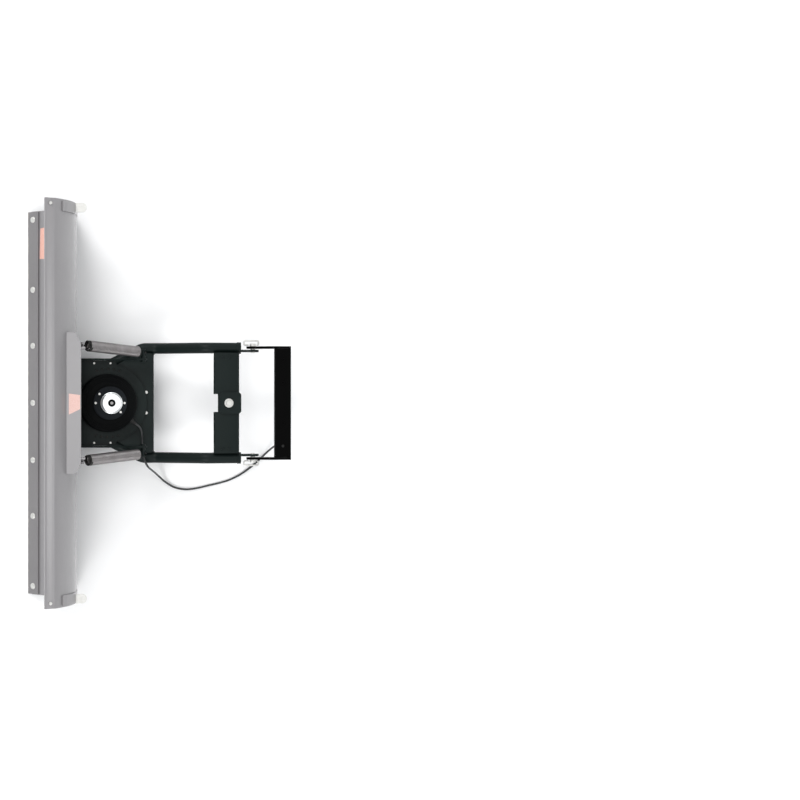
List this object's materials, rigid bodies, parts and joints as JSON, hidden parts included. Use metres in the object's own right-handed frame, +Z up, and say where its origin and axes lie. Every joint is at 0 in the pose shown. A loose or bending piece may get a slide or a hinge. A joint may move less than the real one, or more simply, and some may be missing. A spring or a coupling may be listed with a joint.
{
  "type": "atv plow blade",
  "caption": "Straight snow blade with trip springs on a powered swivel, push frame with pull-pin hitch, and a vehicle mount kit.",
  "frame": {"origin": "middle of the mount kit channel's top face, where it is bolted under the vehicle's frame; the ground is 280 mm below", "axes": "+X across the vehicle, to the driver's left; +Y towards the vehicle's rear, so the blade faces -Y; +Z up"},
  "size_m": [1.356, 0.9034, 0.4507],
  "materials": {
    "blade_paint": "satin grey powder coat",
    "frame_paint": "semi-gloss black powder coat",
    "kit_paint": "matt black paint",
    "zinc": "bright zinc plate",
    "spring_steel": "zinc-plated spring wire",
    "gear_steel": "machined, oiled",
    "cap_metal": "machined",
    "polymer": "plain bearing polymer",
    "housing_cast": "matt black coated casting",
    "rubber": "matt"
  },
  "bodies": {
    "mount_kit": {"mount_channel": "kit_paint", "mount_arm_left": "kit_paint", "mount_arm_right": "kit_paint", "plug_holder": "rubber", "cable_plug": "rubber"},
    "push_frame": {"side_tube_left": "frame_paint", "side_tube_right": "frame_paint", "front_cross_tube": "frame_paint", "base_plate": "frame_paint", "rear_cross_plate": "frame_paint", "lift_bracket": "frame_paint", "lift_bolt": "zinc", "hitch_eye_left": "frame_paint", "hitch_eye_right": "frame_paint", "bearing_disc": "polymer", "pivot_hub": "gear_steel", "drive_housing": "housing_cast", "motor_flange": "housing_cast", "hub_cap": "cap_metal", "cable_gland": "rubber", "power_cable": "rubber"},
    "turntable": {"turntable_plate": "frame_paint", "side_plate_left": "frame_paint", "side_plate_right": "frame_paint", "ring_gear": "gear_steel", "rear_stud_left": "zinc", "rear_stud_right": "zinc", "trip_spring_left": "spring_steel", "trip_spring_right": "spring_steel"},
    "blade": {"moldboard": "blade_paint", "wear_bar": "blade_paint", "wear_bolt_1": "zinc", "wear_bolt_2": "zinc", "wear_bolt_3": "zinc", "wear_bolt_4": "zinc", "wear_bolt_5": "zinc", "wear_bolt_6": "zinc", "wear_bolt_7": "zinc", "spring_bracket": "blade_paint", "pivot_rib_left": "blade_paint", "pivot_rib_right": "blade_paint", "spring_tab_left": "blade_paint", "spring_tab_right": "blade_paint", "trip_pin_left": "zinc", "trip_pin_right": "zinc", "end_strap_left": "blade_paint", "end_strap_right": "blade_paint", "end_rib_left": "blade_paint", "end_rib_right": "blade_paint", "skid_shoe_left": "zinc", "skid_shoe_right": "zinc"},
    "sun": {"sun_gear": "gear_steel"},
    "planet_1": {"planet_gear_1": "gear_steel"},
    "planet_2": {"planet_gear_2": "gear_steel"},
    "planet_3": {"planet_gear_3": "gear_steel"},
    "hitch_left": {"hitch_pin_left": "zinc", "pin_handle_left": "zinc"},
    "hitch_right": {"hitch_pin_right": "zinc", "pin_handle_right": "zinc"}
  },
  "joints": [
    {"name": "lift", "type": "hinge", "parent": "mount_kit", "child": "push_frame", "pos_m": [0, -0.1, -0.055], "axis": [-1, 0, 0], "range_deg": [0, 25], "deforming": ["power_cable"]},
    {"name": "blade_angle", "type": "hinge", "parent": "push_frame", "child": "turntable", "pos_m": [0, -0.6, -0.12], "axis": [0, 0, 1], "range_deg": [-25, 25]},
    {"name": "trip", "type": "hinge", "parent": "turntable", "child": "blade", "pos_m": [0, -0.745, -0.195], "axis": [1, 0, 0], "range_deg": [0, 22], "stiffness_Nm_per_rad": 150, "springref_deg": -34.38, "deforming": ["trip_spring_left", "trip_spring_right"]},
    {"name": "sun_spin", "type": "hinge", "parent": "push_frame", "child": "sun", "pos_m": [0, -0.6, -0.11], "axis": [0, 0, 1], "range_deg": [-76, 76]},
    {"name": "planet_1_spin", "type": "hinge", "parent": "push_frame", "child": "planet_1", "pos_m": [0.0375, -0.6, -0.11], "axis": [0, 0, 1], "range_deg": [-76, 76]},
    {"name": "planet_2_spin", "type": "hinge", "parent": "push_frame", "child": "planet_2", "pos_m": [-0.01875, -0.56752, -0.11], "axis": [0, 0, 1], "range_deg": [-76, 76]},
    {"name": "planet_3_spin", "type": "hinge", "parent": "push_frame", "child": "planet_3", "pos_m": [-0.01875, -0.63248, -0.11], "axis": [0, 0, 1], "range_deg": [-76, 76]},
    {"name": "hitch_pin_left_pull", "type": "slide", "parent": "push_frame", "child": "hitch_left", "axis": [1, 0, 0], "range_m": [0, 0.024], "stiffness_N_per_m": 600, "springref_m": -0.02},
    {"name": "hitch_pin_right_pull", "type": "slide", "parent": "push_frame", "child": "hitch_right", "axis": [-1, 0, 0], "range_m": [0, 0.024], "stiffness_N_per_m": 600, "springref_m": -0.02}
  ],
  "couplings": [
    {"joint": "sun_spin", "follows": "blade_angle", "ratio": -3},
    {"joint": "planet_1_spin", "follows": "blade_angle", "ratio": 3},
    {"joint": "planet_2_spin", "follows": "blade_angle", "ratio": 3},
    {"joint": "planet_3_spin", "follows": "blade_angle", "ratio": 3}
  ]
}
